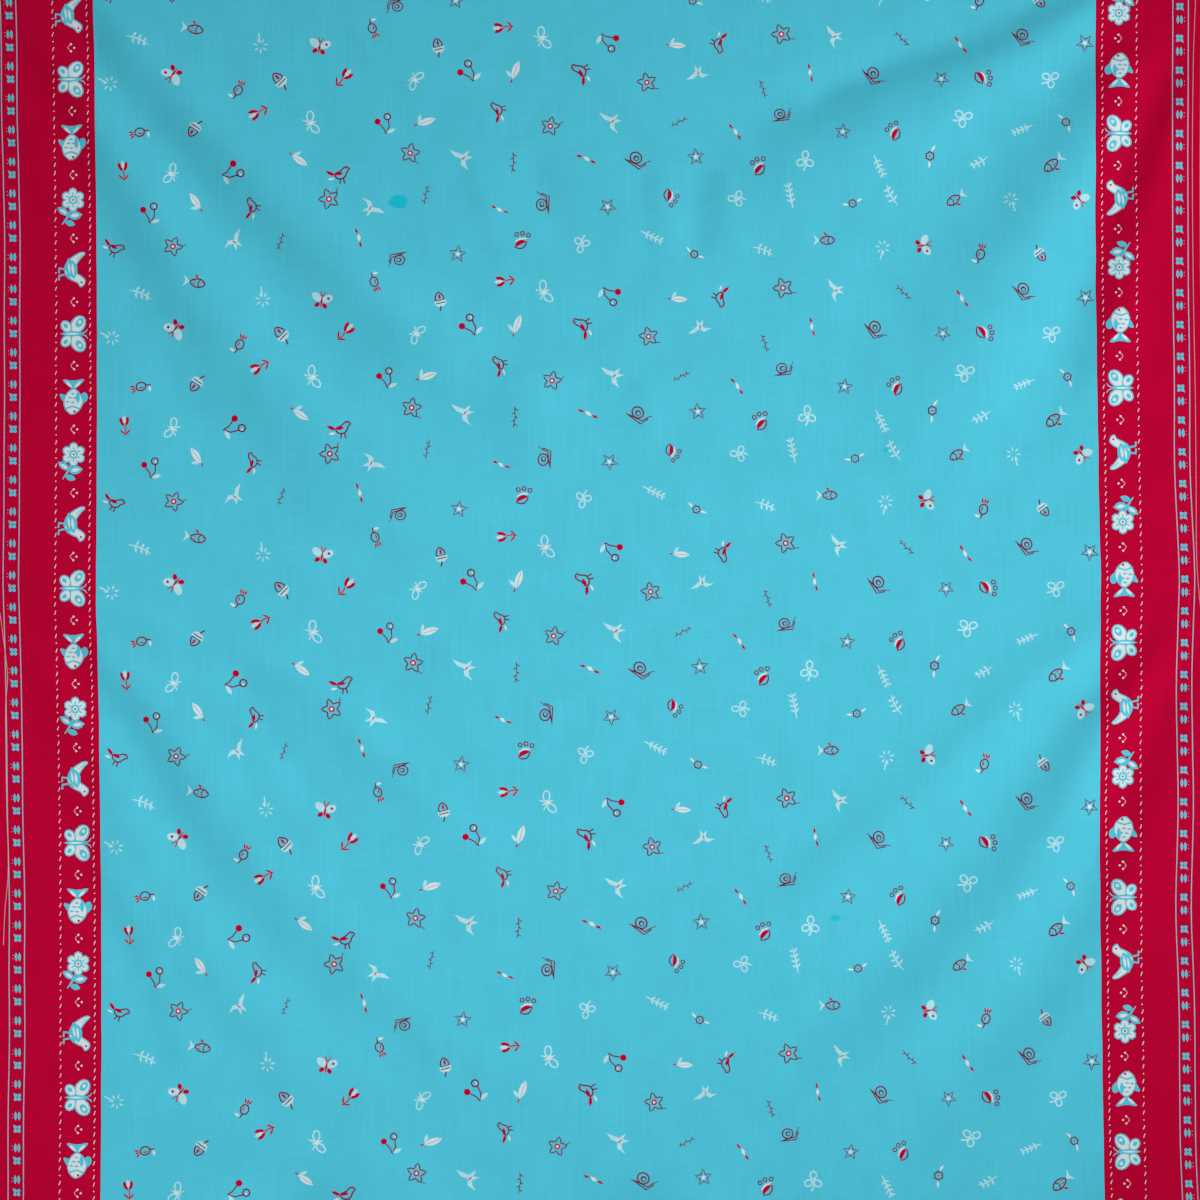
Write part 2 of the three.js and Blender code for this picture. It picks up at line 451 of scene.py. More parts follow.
def berries():
    """Three rings in a row under a leaf that is half crimson, half bare."""
    whole = leaf(-3.8, 1.2, 5.6, 4.2, 6.4, 3)
    yield from line_round(whole)
    yield RED, whole[:5]
    yield WHITE, brush([(-3.6, -0.8), (0.6, -1.2), (4.4, 0.4)], 1.3, 0.5)
    for x, y in ((-5, -2.9), (-1.2, -4.6), (2.8, -4.3)):
        yield from small_ring(x, y, 1.75)


def star():
    tips = [(2.9 if i % 2 else 6.4, c, s) for i, (_, c, s) in enumerate(all_round(10))]
    yield from line_round([(r * c, r * s) for r, c, s in tips])
    yield WHITE, dot(0, 0, 1.5, 5)


def fish():
    body = rounded([(8, 0.2), (3.8, 3.8), (-1.6, 3), (-5, 0.2), (-1.6, -3), (3.8, -3.4)])
    yield THIN, [(-4.2, 0.2), (-8.6, 4.2), (-7.2, 0.2), (-8.6, -4)]
    yield from line_round(body)
    yield FINE, brush([(3, 2.8), (1.6, 0), (3, -2.8)], 0.85, 1)
    yield RED, leaf(0.6, 1.2, -2.4, 1, 0.9, 1)
    yield RED, leaf(0.6, -1, -2.4, -0.8, 0.9, 1)
    yield RED, dot(5.2, 0.9, 0.65, 4)
    yield RED, leaf(1.6, 3.2, -1.6, 6.2, 1.6, 1)


def butterfly():
    for side in (1, -1):
        yield THIN, oval(3.9 * side, 2.6, 4, 2.7, 35 * side, 8)
        yield RED, oval(2.7 * side, -2.6, 2.2, 1.6, -40 * side, 7)
        yield RED, brush([(0.3 * side, 3.6), (1.8 * side, 7)], 0.75, 1)
    yield RED, dot(4.4, 2.9, 1.1, 5)
    yield RED, leaf(0, -5.2, 0, 5, 1.6, 1)


def twig():
    """A row of tiny strokes on a thin line."""
    yield FINE, brush([(-6.6, -0.4), (0, 0.5), (6.8, -0.3)], 0.6, 1)
    for x, up in ((-5.2, 2.2), (-2.8, -1.9), (-0.4, 2.3), (2, -1.9), (4.4, 2.1)):
        yield FINE, brush([(x, 0), (x + 1, up)], 0.8, 0.8)


def rosehip():
    yield from line_round(oval(0, -1.4, 3.3, 3.8, sides=10))
    yield RED, leaf(-1.2, -3.6, -0.6, 0.8, 1.2, 1)
    for x in (-2.6, 0, 2.6):
        yield RED, leaf(x * 0.3, 2, x, 6.2, 1.4, 1)
    yield FINE, brush([(0, -5), (-1, -8)], 0.9, 1)
    yield WHITE, leaf(-0.8, -7, -5.4, -6.2, 2, 1)


def feather():
    quill = [(-7, -3.6), (-2.6, -1.2), (1.8, 1.4), (7.2, 4.8)]
    yield THIN, brush(quill, 1.1, 0.6)
    for i in range(4):
        x, y = -3.6 + 2.8 * i, -1.9 + 1.7 * i
        yield THIN, leaf(x, y, x + 0.2, y + 3.9, 1.4, 1)
        yield THIN, leaf(x, y, x + 3.6, y - 1, 1.4, 1)


def clover():
    yield THIN, brush([(0, 0), (0.5, -3.8), (-0.8, -7)], 1.1, 1)
    for a in (90, 210, 330):
        petal = line_round(oval(3.5, 0, 3.2, 2.7, sides=7), 1.1, THIN)
        yield from placed(petal, a)


def white_leaf():
    yield WHITE, leaf(-1.2, -6, 1.6, 6.2, 4.6)
    yield BLUE, brush([(-0.6, -4.4), (1.2, 4.6)], 0.8, 0.6)
    yield RED, brush([(-1.2, -6.2), (-2, -8.4)], 1, 1)
    yield THIN, leaf(-1, -5.4, -6, -0.8, 2.4, 2)


def moth():
    for side in (1, -1):
        yield from line_round(oval(4.2 * side, 1, 4, 2.8, 25 * side), 1.05, THIN)
        yield THIN, brush([(1.0 * side, -1.6), (3.6 * side, -4.4)], 1.2, 0.7)
    yield WHITE, leaf(0, -4.4, 0, 4.4, 1.8, 1)


def bud():
    yield WHITE, leaf(-2.2, -1.4, 2.2, 2, 2.6, 1)
    yield RED, leaf(1.4, 1.8, 4.8, 5.6, 1.9, 1)
    yield RED, leaf(-1.4, -1.6, -4.4, -6, 1.8, 1)


def ring_flower():
    yield WHITE, leaf(1.6, 2, 7, 4.4, 1.7, 1)
    yield WHITE, leaf(-1.6, -2, -4.6, -7, 1.7, 1)
    yield from line_round(lobed(3.2, 0.35, 6, 12), 1)
    yield RED, dot(0, 0, 0.7, 5)


def snail():
    foot = [(-7.6, -4.4), (5.4, -4.6), (7.6, 0.8), (6.4, 2.6), (4.6, -1.8), (-2.6, -2.8)]
    yield from line_round(foot, 0.85)
    yield from line_round(oval(-0.6, 0.8, 4.4, 4, sides=11))
    yield FINE, oval(-0.2, 0.6, 2.1, 1.9, sides=8)
    yield BLUE, oval(0.1, 0.5, 1.3, 1.1, sides=6)
    yield FINE, brush([(6.8, 2.2), (8.4, 4.6)], 0.8, 0.7)


def seed_head():
    """A soft white clock of short rays."""
    yield THIN, brush([(0, -1), (-0.8, -7.6)], 1.2, 0.8)
    for i in range(7):
        yield from placed([(THIN, leaf(1.6, 0, 5.8, 0, 1.3, 1))], 25.7 + i * 51.4, 0, 1.4)


# The order in which the motifs are dealt out over one repeat of the field
FIELD_MOTIFS = (
    songbird, clover, acorn, twig, fern, cherries, star, butterfly, daisy, feather, tulip, bud,
    fish, white_leaf, berries, rosehip, swallow, ring_flower, moth, snail, seed_head,
)


# Motifs of the wide border row, on crimson. They are drawn upright, about 27 mm long, with y up.

def standing_bird():
    body = rounded([(13.4, 15.4), (11.2, 19), (7.2, 19.8), (4.4, 16.8), (2.2, 12.8), (-2.8, 12.2),
                    (-8, 15.4), (-12.8, 20.4), (-14.2, 16.4), (-10.4, 9.6), (-6.2, 4.8),
                    (0, 2.8), (5.6, 5), (8.4, 10), (9.8, 13.6)])
    yield BLUE, brush([(-0.8, 3.8), (-1.4, -0.4), (2.2, -0.8)], 1.5, 0.9)
    yield BLUE, brush([(3.4, 3.8), (4.2, -0.4), (7.6, -0.8)], 1.5, 0.9)
    yield BLUE, body
    yield WHITE, inset(body, 0.9)
    yield BLUE, leaf(6.6, 11, -9, 6.6, 9.4)
    yield WHITE, leaf(4.2, 10.6, -5.4, 9.4, 2.2, 2)
    yield WHITE, leaf(3, 7.8, -6.2, 6.4, 1.7, 2)
    yield BLUE, brush([(-8, 12.6), (-12, 17.2)], 1.5)
    yield BLUE, leaf(2, 3.6, 7.6, 9.2, 2, 2)
    yield RED, dot(9.2, 16.4, 0.9, 6)


def rose_spray():
    yield BLUE, brush([(13.6, 2), (9, 5.4), (2, 9.2), (-2, 10.4)], 1.6)
    yield BLUE, leaf(7.6, 6.4, 6, 17.4, 6.4)
    yield WHITE, leaf(7.2, 8.2, 6.2, 15.4, 3, 2)
    yield BLUE, leaf(6.6, 7.4, 0.6, -1.4, 5.4)
    yield WHITE, leaf(5.8, 6, 2, 0.4, 2.4, 2)
    yield BLUE, leaf(11.2, 4, 13.8, 12, 4.6)
    petals = ((BLUE, oval(5.3, 0, 4, 3.6)), (WHITE, oval(5.3, 0, 2.9, 2.9 * 0.9)),
              (BLUE, leaf(2.4, 0, 6.6, 0, 1.3, 1)))
    for petal in petals:
        for i in range(6):
            yield from placed([petal], i * 60, -5, 10.4)
    yield BLUE, dot(-5, 10.4, 3.4, 10)
    yield WHITE, dot(-5, 10.4, 2, 7)
    yield RED, dot(-5, 10.4, 0.9, 5)


def swimming_fish():
    body = rounded([(13.8, 9), (9.8, 15.2), (3.2, 18.2), (-3.4, 15.4), (-7.6, 10.2), (-3.4, 4.6),
                    (3.2, 2), (9.8, 4)])
    tail = rounded([(-5.8, 10.2), (-10, 16), (-14.4, 19.2), (-12.2, 9.8), (-14.2, 1.2),
                    (-9.8, 4.6)])
    yield BLUE, tail
    yield WHITE, leaf(-7.2, 10.8, -12.6, 16.2, 2.2, 2)
    yield WHITE, leaf(-7.2, 9.4, -12.4, 4, 2.2, 2)
    yield BLUE, rounded([(5.6, 17), (0.8, 21.6), (-4.4, 19.6), (-2, 15)])
    yield BLUE, rounded([(4.6, 3), (-3.4, -1.4), (-1.4, 5.2)])
    yield BLUE, body
    yield WHITE, inset(body, 0.9)
    yield BLUE, brush([(8.6, 15), (6.6, 9.4), (8.6, 3.6)], 1.3, 1)
    yield BLUE, leaf(4.8, 13.6, -4.6, 13.2, 3.4, 2)
    yield RED, dot(10.6, 10.8, 1, 6)
    for x, y in ((3.8, 9.6), (3.4, 5.6), (0.2, 7.6), (-2.8, 9.6), (0.4, 11.4)):
        yield BLUE, leaf(x, y - 2, x, y + 2, 1.7, 1)


def border_butterfly():
    for side in (1, -1):
        yield BLUE, oval(7.0 * side, 13.6, 7.4, 5.6, 35 * side, 12)
        yield WHITE, oval(7.0 * side, 13.6, 6.4, 4.6, 35 * side, 12)
        yield BLUE, oval(8.4 * side, 14.8, 4, 2.7, 35 * side, 9)
        yield WHITE, dot(8.8 * side, 15, 1.5, 6)
        yield BLUE, oval(5.4 * side, 4.8, 5.2, 4.1, -40 * side, 10)
        yield WHITE, oval(5.4 * side, 4.8, 4.2, 3.1, -40 * side, 10)
        yield BLUE, oval(6.0 * side, 4.2, 2.2, 1.6, -40 * side, 7)
        yield BLUE, brush([(0.6 * side, 16.6), (1.6 * side, 19.6), (3.6 * side, 21)], 1)
    yield BLUE, leaf(0, 0, 0, 19, 4.2)
    yield WHITE, leaf(0, 3, 0, 15, 1.5, 2)


WIDE_ROW = (standing_bird, rose_spray, swimming_fish, border_butterfly)


def small_sprig():
    """Three white berries on fine stalks, between the motifs of the wide row."""
    for side in (-1, 1):
        yield CREAM, brush([(0, 0.2), (1.2 * side, 0.9), (2.5 * side, 2.4)], 0.5, 1)
    for x, y in ((-2.7, 2.6), (2.7, 2.6), (0, 5)):
        yield WHITE, dot(x, y, 0.85, 6)


def row_blossom():
    yield PALE, leaf(-4.2, 0.4, 0, 3.4, 1.4, 1)
    for a in (45, 135, 225, 315):
        yield from placed([(BLUE, oval(2, 0, 2, 1.6, sides=7))], a, 0, 4.3)
    yield RED, dot(0, 4.3, 0.9, 6)


def row_leaves():
    yield BLUE, leaf(-4.2, 2.8, 4.2, 3, 2.8, 2)
    yield BLUE, leaf(-4.2, 6, 4.2, 6.2, 2.8, 2)
    yield CREAM, dot(-1.6, 0, 0.45, 4)
    yield CREAM, dot(1.6, 0, 0.45, 4)


# Where the border's bands lie, in millimetres in from the selvedge
OUTER_RAIL = 9.2
NARROW_ROW_FOOT = 12.2
INNER_RAIL = 20.9
OUTER_STITCHES = 48.4
WIDE_ROW_FOOT = 51.4
INNER_STITCHES = 74.3
FIELD_EDGE = 79.4

RAIL_WIDTH = 0.7
WIDE_PITCH = 47.85
NARROW_PITCH = 23.93        # a blossom and a pair of leaves
LEAVES_AFTER = 9.8          # from a blossom to its leaves
OUTER_PITCH, INNER_PITCH = 17.4, 16.0   # two dashes and a dot
DASH_LENGTH, DASH_WIDTH, DASH_SLANT = 3.0, 0.7, 1.1
DOT_RADIUS = 0.55
OVERRUN = 6.0               # the print runs on this far past the cloth's edges
# How far the printed lines stray sideways, and over what length
RAIL_STRAY, STITCH_STRAY, EDGE_STRAY = (1.7, 85.0), (0.6, 60.0), (0.5, 30.0)


def wander(v, seed, size, along):
    """How far a printed line strays sideways at v: smooth, by up to about size, over along."""
    return size * noise.noise(Vector((v / along, seed, 0.0)))


def printed_line(low, high, at, step, seed):
    """A pale rail from v = low to v = high at u = at, which strays a little."""
    count = int((high - low) / step) + 1
    rows = [low + i * (high - low) / count for i in range(count + 1)]
    places = [(at + wander(v, seed, *RAIL_STRAY), v) for v in rows]
    right = [(u + RAIL_WIDTH / 2, v) for u, v in places]
    left = [(u - RAIL_WIDTH / 2, v) for u, v in places]
    return PALE, right + left[::-1]


def stitches(low, high, at, pitch, seed):
    """Two slanting dashes and a dot, over and over, at u = at."""
    for i in range(int((high - low) / pitch) + 1):
        v = low + i * pitch
        u = at + wander(v, seed, *STITCH_STRAY)
        for k in (0.20, 0.56):
            y = v + k * pitch
            ends = [(u + way * DASH_SLANT / 2, y + way * DASH_LENGTH / 2) for way in (-1, 1)]
            yield WHITE, brush(ends, DASH_WIDTH, 0.8)
        yield WHITE, dot(u, v + 0.88 * pitch, DOT_RADIUS, 5)


def border(low, high, step, seed):
    """A border from v = low to v = high, with its selvedge at u = 0 and the field to its right."""
    rows = np.arange(low, high + step, step)
    edge = [(FIELD_EDGE + wander(v, seed, *EDGE_STRAY), v) for v in rows]
    yield RED, [(-OVERRUN, low), *edge, (-OVERRUN, edge[-1][1])]
    for at in (OUTER_RAIL, INNER_RAIL):
        yield printed_line(low, high, at, step, seed)
    yield from stitches(low, high, OUTER_STITCHES, OUTER_PITCH, seed + 1)
    yield from stitches(low - 5.0, high, INNER_STITCHES, INNER_PITCH, seed + 2)
    for i in range(int((high - low) / WIDE_PITCH) + 2):
        v = low + i * WIDE_PITCH
        # A motif's base faces the selvedge, so its upright is turned to lie across the cloth
        yield from placed(WIDE_ROW[i % len(WIDE_ROW)](), -90, WIDE_ROW_FOOT, v)
        yield from placed(small_sprig(), -90, WIDE_ROW_FOOT + 8.0, v + WIDE_PITCH / 2)
    for i in range(int((high - low) / NARROW_PITCH) + 1):
        v = low + i * NARROW_PITCH
        yield from placed(row_blossom(), -90, NARROW_ROW_FOOT, v, 0.85)
        yield from placed(row_leaves(), -90, NARROW_ROW_FOOT, v + LEAVES_AFTER, 0.82)


FIELD_ROWS = 6          # rows of motifs in one repeat
FIELD_COLUMNS = 17
FIELD_MARGIN = 14.0     # clear of the border's edge
FIELD_SHIFT = 8.5       # how far a motif strays from an even layout


def field(prints, low, high, width):
    """The scattered motifs: one repeat is dealt out by the seed and printed over and over."""
    draw = random.Random(prints.seed)
    repeat = prints.repeat / MM
    inner = width / 2 - FIELD_EDGE - FIELD_MARGIN
    across = 2 * inner / (FIELD_COLUMNS - 0.5)
    block = []
    for row in range(FIELD_ROWS):
        for column in range(FIELD_COLUMNS):
            motif = FIELD_MOTIFS[(column * 8 + row * 5) % len(FIELD_MOTIFS)]
            u = -inner + (column + 0.5 * (row % 2)) * across + draw.uniform(-1, 1) * FIELD_SHIFT
            v = (row + 0.5) * repeat / FIELD_ROWS + draw.uniform(-1, 1) * FIELD_SHIFT
            block.append((motif, u, v, draw.uniform(0, 360), draw.uniform(1.0, 1.18)))
    for k in range(math.ceil((high - low) / repeat)):
        for motif, u, v, degrees, size in block:
            yield from placed(motif(), degrees, u, low + k * repeat + v, size)


def whole_print(cloth, prints):
    """Every shape of the print, over the whole cut."""
    width, length = cloth.cut_width / MM, cloth.cut_length / MM
    step = cloth.cell / MM
    low, high = -length - OVERRUN, OVERRUN
    left = placed(border(low, high, step, 1.0), 0, -width / 2, 0)
    # The right border is the left one turned half round
    right = placed(border(-high, -low, step, 7.0), 180, width / 2, 0)
    return [*left, *right, *field(prints, low, high, width)]


# Making the cloth

def inked_triangles(cloth, shapes):
    """The flat cloth cut along the outlines: points, triangles and each triangle's ink."""
    half, length, step = cloth.cut_width / MM / 2, cloth.cut_length / MM, cloth.cell / MM
    columns, rows = round(2 * half / step), round(length / step)
    across, down = np.linspace(-half, half, columns + 1), np.linspace(-length, 0, rows + 1)
    edge = [(u, -length) for u in across] + [(half, v) for v in down[1:]]
    edge += [(u, 0.0) for u in across[-2::-1]] + [(-half, v) for v in down[-2:0:-1]]
    shapes = [s for s in shapes if on_cloth(s[1], half, length)]

    points = edge + between_points(cloth, shapes, across, down)
    outlines = [list(range(len(edge)))]
    inks = [BLUE]
    for ink, shape in shapes:
        outlines.append(list(range(len(points), len(points) + len(shape))))
        points.extend(anticlockwise(shape))
        inks.append(ink)
    flat, _, faces, _, _, within = delaunay_2d_cdt(points, [], outlines, 0, 1e-3, True)
    flat = np.array([tuple(p) for p in flat])
    inside = np.array([0 in found for found in within])
    top = np.array([INKS.index(inks[max(found)]) if found else 0 for found in within])
    used, faces = np.unique(np.array(faces)[inside], return_inverse=True)
    return flat[used], faces.reshape(-1, 3), top[inside]


SHARP_BEND = 0.09       # millimetres off a straight line, over one cell


def between_points(cloth, shapes, across, down):
    """Points between the outlines, clear of the motifs: a staggered grid, finer on sharp folds."""
    half_cell = (across[1] - across[0]) / 2
    fine_u, fine_v = (
        np.arange(line[0] + half_cell, line[-1] - half_cell / 2, half_cell)
        for line in (across, down))
    taken = np.zeros((len(fine_v), len(fine_u)), bool)
    clear = 0.6 * half_cell
    for _, points in shapes:
        (u0, v0), (u1, v1) = np.min(points, axis=0), np.max(points, axis=0)
        if v1 - v0 > (down[-1] - down[0]) / 2:
            continue
        c0, c1 = np.searchsorted(fine_u, (u0 - clear, u1 + clear))
        r0, r1 = np.searchsorted(fine_v, (v0 - clear, v1 + clear))
        taken[r0:r1, c0:c1] = True
    column, row = np.meshgrid(np.arange(len(fine_u)), np.arange(len(fine_v)))
    coarse = (row % 2 == 0) & (column % 2 == row // 2 % 2)
    places = np.stack(np.meshgrid(fine_u, fine_v), axis=-1).reshape(-1, 2)
    bend = np.zeros(len(places))
    for step in ([half_cell, 0], [0, half_cell]):
        ends = lift(cloth, places + step) + lift(cloth, places - step)
        bend = np.maximum(bend, np.abs(ends / 2 - lift(cloth, places)))
    wanted = (coarse.ravel() | (bend > SHARP_BEND)) & ~taken.ravel()
    return [(u, v) for u, v in places[wanted]]


def on_cloth(points, half, length):
    """True if any of the outline's box lies on the cloth."""
    (u0, v0), (u1, v1) = np.min(points, axis=0), np.max(points, axis=0)
    return u1 > -half and u0 < half and v1 > -length and v0 < 0


REVERSE_FINEST = 5.5    # smaller shapes don't show through to the reverse


def shown_through(cloth, shapes):
    """The shapes that show on the reverse: the larger ones, and all at the cloth's edges."""
    half, length = cloth.cut_width / MM / 2, cloth.cut_length / MM
    kept = []
    for ink, points in shapes:
        (u0, v0), (u1, v1) = np.min(points, axis=0), np.max(points, axis=0)
        inland = u0 > -half + 1 and u1 < half - 1 and v0 > -length + 1 and v1 < -1
        if not inland or max(u1 - u0, v1 - v0) >= REVERSE_FINEST:
            kept.append((ink, points))
    return kept


def closed_shell(cloth, front, back):
    """The hung cloth with its rim: places, triangles, ink slots, facings and flat places."""
    (flat, faces, inks), (back_flat, back_faces, back_inks) = front, back
    hung, facing = hang(cloth, flat)
    back_hung, back_facing = hang(cloth, back_flat)
    out = np.array([0, -cloth.thickness / 2, 0])
    count = len(flat)

    # The rim joins the front's outer sides to the same points of the back
    sides = np.concatenate([faces[:, [0, 1]], faces[:, [1, 2]], faces[:, [2, 0]]])
    _, first, met = np.unique(np.sort(sides, axis=1), axis=0, return_index=True, return_counts=True)
    rim = first[met == 1]
    behind = {(round(u, 2), round(v, 2)): i + count for i, (u, v) in enumerate(back_flat)}
    rim_faces = []
    for a, b in sides[rim]:
        c, d = (behind[round(flat[i][0], 2), round(flat[i][1], 2)] for i in (a, b))
        rim_faces += [(b, a, c), (b, c, d)]
    owner = np.repeat(inks[rim % len(faces)], 2)
    return (
        np.concatenate([hung + out, back_hung - out]),
        np.concatenate([faces, back_faces[:, ::-1] + count, rim_faces]),
        np.concatenate([inks, back_inks + len(INKS), owner]),
        np.concatenate([facing, -back_facing]),
        np.concatenate([flat, back_flat]),
    )


def sheet_mesh(name, places, triangles, slots, facings, flat):
    """A mesh of triangles with ink slots, smooth facings and the flat cloth's map in metres."""
    mesh = bpy.data.meshes.new(name)
    mesh.vertices.add(len(places))
    mesh.vertices.foreach_set("co", places.astype(np.float32).ravel())
    mesh.loops.add(triangles.size)
    mesh.loops.foreach_set("vertex_index", triangles.astype(np.int32).ravel())
    mesh.polygons.add(len(triangles))
    mesh.polygons.foreach_set("loop_start", np.arange(0, triangles.size, 3, dtype=np.int32))
    mesh.polygons.foreach_set("material_index", slots.astype(np.int32))
    mesh.update(calc_edges=True)
    cut = mesh.uv_layers.new(name="cut")
    cut.data.foreach_set("uv", (flat[triangles.ravel()] * MM).astype(np.float32).ravel())
    mesh.shade_smooth()
    mesh.normals_split_custom_set_from_vertices([tuple(n) for n in facings])
    return mesh


# Loose threads lie along the selvedges: width in millimetres and (u, v) places on the cut cloth
THREAD_WIDTH = 0.5
# One thread's section, as shares of its width across the cloth and out from it
THREAD_CORNERS = ((-0.5, 0), (-0.25, 0.4), (0.25, 0.4), (0.5, 0))
THREADS = (
    ((454.6, -0.5), (453, -40), (451.4, -110), (451.6, -230), (452.2, -330), (451.5, -400),
     (450.7, -460), (453.2, -492), (456, -502)),
    ((-451, -498), (-447.6, -530), (-446.4, -548), (-448.4, -572), (-448.8, -640),
     (-448.2, -690), (-451, -722), (-452.2, -748)),
)


def thread_mesh(name, cloth):
    """Thin flat tubes that lie on the printed face."""
    places, faces = [], []
    sides = len(THREAD_CORNERS)
    for thread in THREADS:
        hung, _ = hang(cloth, trace_path(np.array(thread), 8 * len(thread)))
        run = np.gradient(hung, axis=0)
        side = np.stack([-run[:, 2], np.zeros(len(run)), run[:, 0]], axis=1)
        side /= -np.linalg.norm(side, axis=1)[:, None]
        first = len(places)
        for point, across in zip(hung, side):
            for over, up in THREAD_CORNERS:
                out = np.array([0, -cloth.thickness / 2 - up * THREAD_WIDTH * MM, 0])
                places.append(point + across * over * THREAD_WIDTH * MM + out)
        for row in range(first, len(places) - sides, sides):
            for k in range(sides):
                after = (k + 1) % sides
                faces.append((row + k, row + after, row + sides + after, row + sides + k))
        faces.append(tuple(range(first, first + sides))[::-1])
        faces.append(tuple(range(len(places) - sides, len(places))))
    mesh = bpy.data.meshes.new(name)
    mesh.from_pydata([tuple(p) for p in places], [], faces)
    return mesh


# Materials

def feed(tree, socket, value):
    """Sets a socket to a value, or links it to another node's output."""
    if isinstance(value, bpy.types.NodeSocket):
        tree.links.new(value, socket)
    else:
        socket.default_value = value


def add_node(tree, kind, inputs, **settings):
    """A shader node with its settings, and its inputs fed by values or sockets."""
    node = tree.nodes.new(f"ShaderNode{kind}")
    for name, value in settings.items():
        setattr(node, name, value)
    for place, value in inputs.items():
        feed(tree, node.inputs[place], value)
    return node


def math_node(tree, operation, *values, clamp=False):
    """A math node fed by numbers or sockets. Gives its output."""
    inputs = dict(enumerate(values))
    return add_node(tree, "Math", inputs, operation=operation, use_clamp=clamp).outputs[0]


def vector_node(tree, operation, inputs):
    return add_node(tree, "VectorMath", inputs, operation=operation).outputs


def stretched_noise(tree, position, grain, detail=2.0):
    """Noise whose grain is (across, along) in metres."""
    across, along = grain
    scaled = vector_node(tree, "MULTIPLY", {0: position, 1: (1 / across, 1 / along, 0)})
    inputs = {"Scale": 1.0, "Detail": detail, "Vector": scaled[0]}
    return add_node(tree, "TexNoise", inputs).outputs["Fac"]


def node_group(name, inputs, outputs):
    """A new group, fed by the place on the cut cloth and more inputs.

    Gives the group, the place, what its input node gives and what its output node takes.
    """
    group = bpy.data.node_groups.new(name, "ShaderNodeTree")
    for way, sockets in (("INPUT", {"Cut position": "Vector", **inputs}), ("OUTPUT", outputs)):
        for label, kind in sockets.items():
            group.interface.new_socket(name=label, in_out=way, socket_type=f"NodeSocket{kind}")
    enter, leave = group.nodes.new("NodeGroupInput"), group.nodes.new("NodeGroupOutput")
    return group, enter.outputs["Cut position"], enter.outputs, leave.inputs


THREAD_PITCH = 0.0004   # metres
# Grain of the yarn and the dye across and along the cloth, in metres
WARP_GRAIN = (0.0017, 0.050)
WEFT_GRAIN = (0.024, 0.0013)
CLOUD_GRAIN = (0.03, 0.04)
RAGGED_GRAIN = (0.004, 0.003)   # the edge of a blot


def weave_group():
    """Plain weave: the height of its crossing threads, and the streaks of uneven yarn."""
    group, position, given, wanted = node_group(
        "Plain weave", {"Thread pitch": "Float"}, {"Height": "Float", "Streaks": "Float"})
    split = add_node(group, "SeparateXYZ", {0: position}).outputs
    turns = math_node(group, "DIVIDE", math.pi, given["Thread pitch"])
    over, under = (
        math_node(group, "SINE", math_node(group, "MULTIPLY", split[way], turns)) for way in "XY")
    crossing = math_node(group, "MULTIPLY", over, under)
    feed(group, wanted["Height"], math_node(group, "MULTIPLY_ADD", crossing, 0.5, 0.5))
    warp = stretched_noise(group, position, WARP_GRAIN, 3.0)
    weft = stretched_noise(group, position, WEFT_GRAIN, 3.0)
    weft = math_node(group, "MULTIPLY", weft, 0.5)
    feed(group, wanted["Streaks"], math_node(group, "MULTIPLY_ADD", warp, 0.5, weft))
    return group


def dye_group():
    """Ink as it lies on cotton: a flat colour with yarn streaks and cloudy dye."""
    inputs = {"Ink": "Color", "Streaks": "Float", "Streak strength": "Float",
              "Cloud strength": "Float"}
    group, position, given, wanted = node_group("Cotton dye", inputs, {"Colour": "Color"})
    clouds = stretched_noise(group, position, CLOUD_GRAIN, 4.0)
    streak, cloud = (
        math_node(group, "MULTIPLY", math_node(group, "SUBTRACT", mask, 0.5), given[strength])
        for mask, strength in ((given["Streaks"], "Streak strength"), (clouds, "Cloud strength")))
    shade = math_node(group, "ADD", math_node(group, "ADD", streak, cloud), 1.0)
    tint = vector_node(group, "SCALE", {0: given["Ink"], "Scale": shade})
    feed(group, wanted["Colour"], tint[0])
    return group


def blot_group():
    """A spilt drop of dye: a soft uneven mask round a place on the cut cloth."""
    group, position, given, wanted = node_group(
        "Dye blot", {"Centre": "Vector", "Radius": "Float"}, {"Mask": "Float"})
    off = vector_node(group, "SUBTRACT", {0: position, 1: given["Centre"]})
    oval_off = vector_node(group, "MULTIPLY", {0: off[0], 1: (1, BLOT_FLATNESS, 0)})
    away = vector_node(group, "LENGTH", {0: oval_off[0]})["Value"]
    ragged = stretched_noise(group, position, RAGGED_GRAIN)
    distance = math_node(group, "DIVIDE", away, given["Radius"])
    ragged = math_node(group, "MULTIPLY_ADD", ragged, 0.6, -0.3)
    distance = math_node(group, "ADD", distance, ragged)
    feed(group, wanted["Mask"], math_node(group, "MULTIPLY_ADD", distance, -4.0, 4.4, clamp=True))
    return group


# Spilt dye on the turquoise, as (u, v) in metres, radius and strength
BLOTS = (
    ((-0.1490, -0.1895), 0.0076, 0.90),
    ((0.1770, -0.7270), 0.0036, 0.75),
    ((0.2170, -0.3760), 0.0022, 0.85),
)
BLOT_COLOUR = (0.003, 0.47, 0.63, 1.0)
BLOT_FLATNESS = 1.5     # how much wider than high

# How strongly yarn streaks and cloudy dye show in each ink
INK_SHOW = {
    "turquoise": (0.32, 0.15),
    "crimson": (0.28, 0.14),
    "fine_crimson": (0.30, 0.20),
    "white": (0.24, 0.10),
    "thin_white": (0.50, 0.30),
    "pale_blue": (0.40, 0.20),
    "cream": (0.30, 0.20),
}
REVERSE_PALER = 0.42    # share of undyed cotton that shows on the reverse
COTTON_ROUGHNESS, COTTON_SHEEN = 0.86, 0.03
WEAVE_BUMP, WEAVE_DEPTH = 0.35, 0.0001


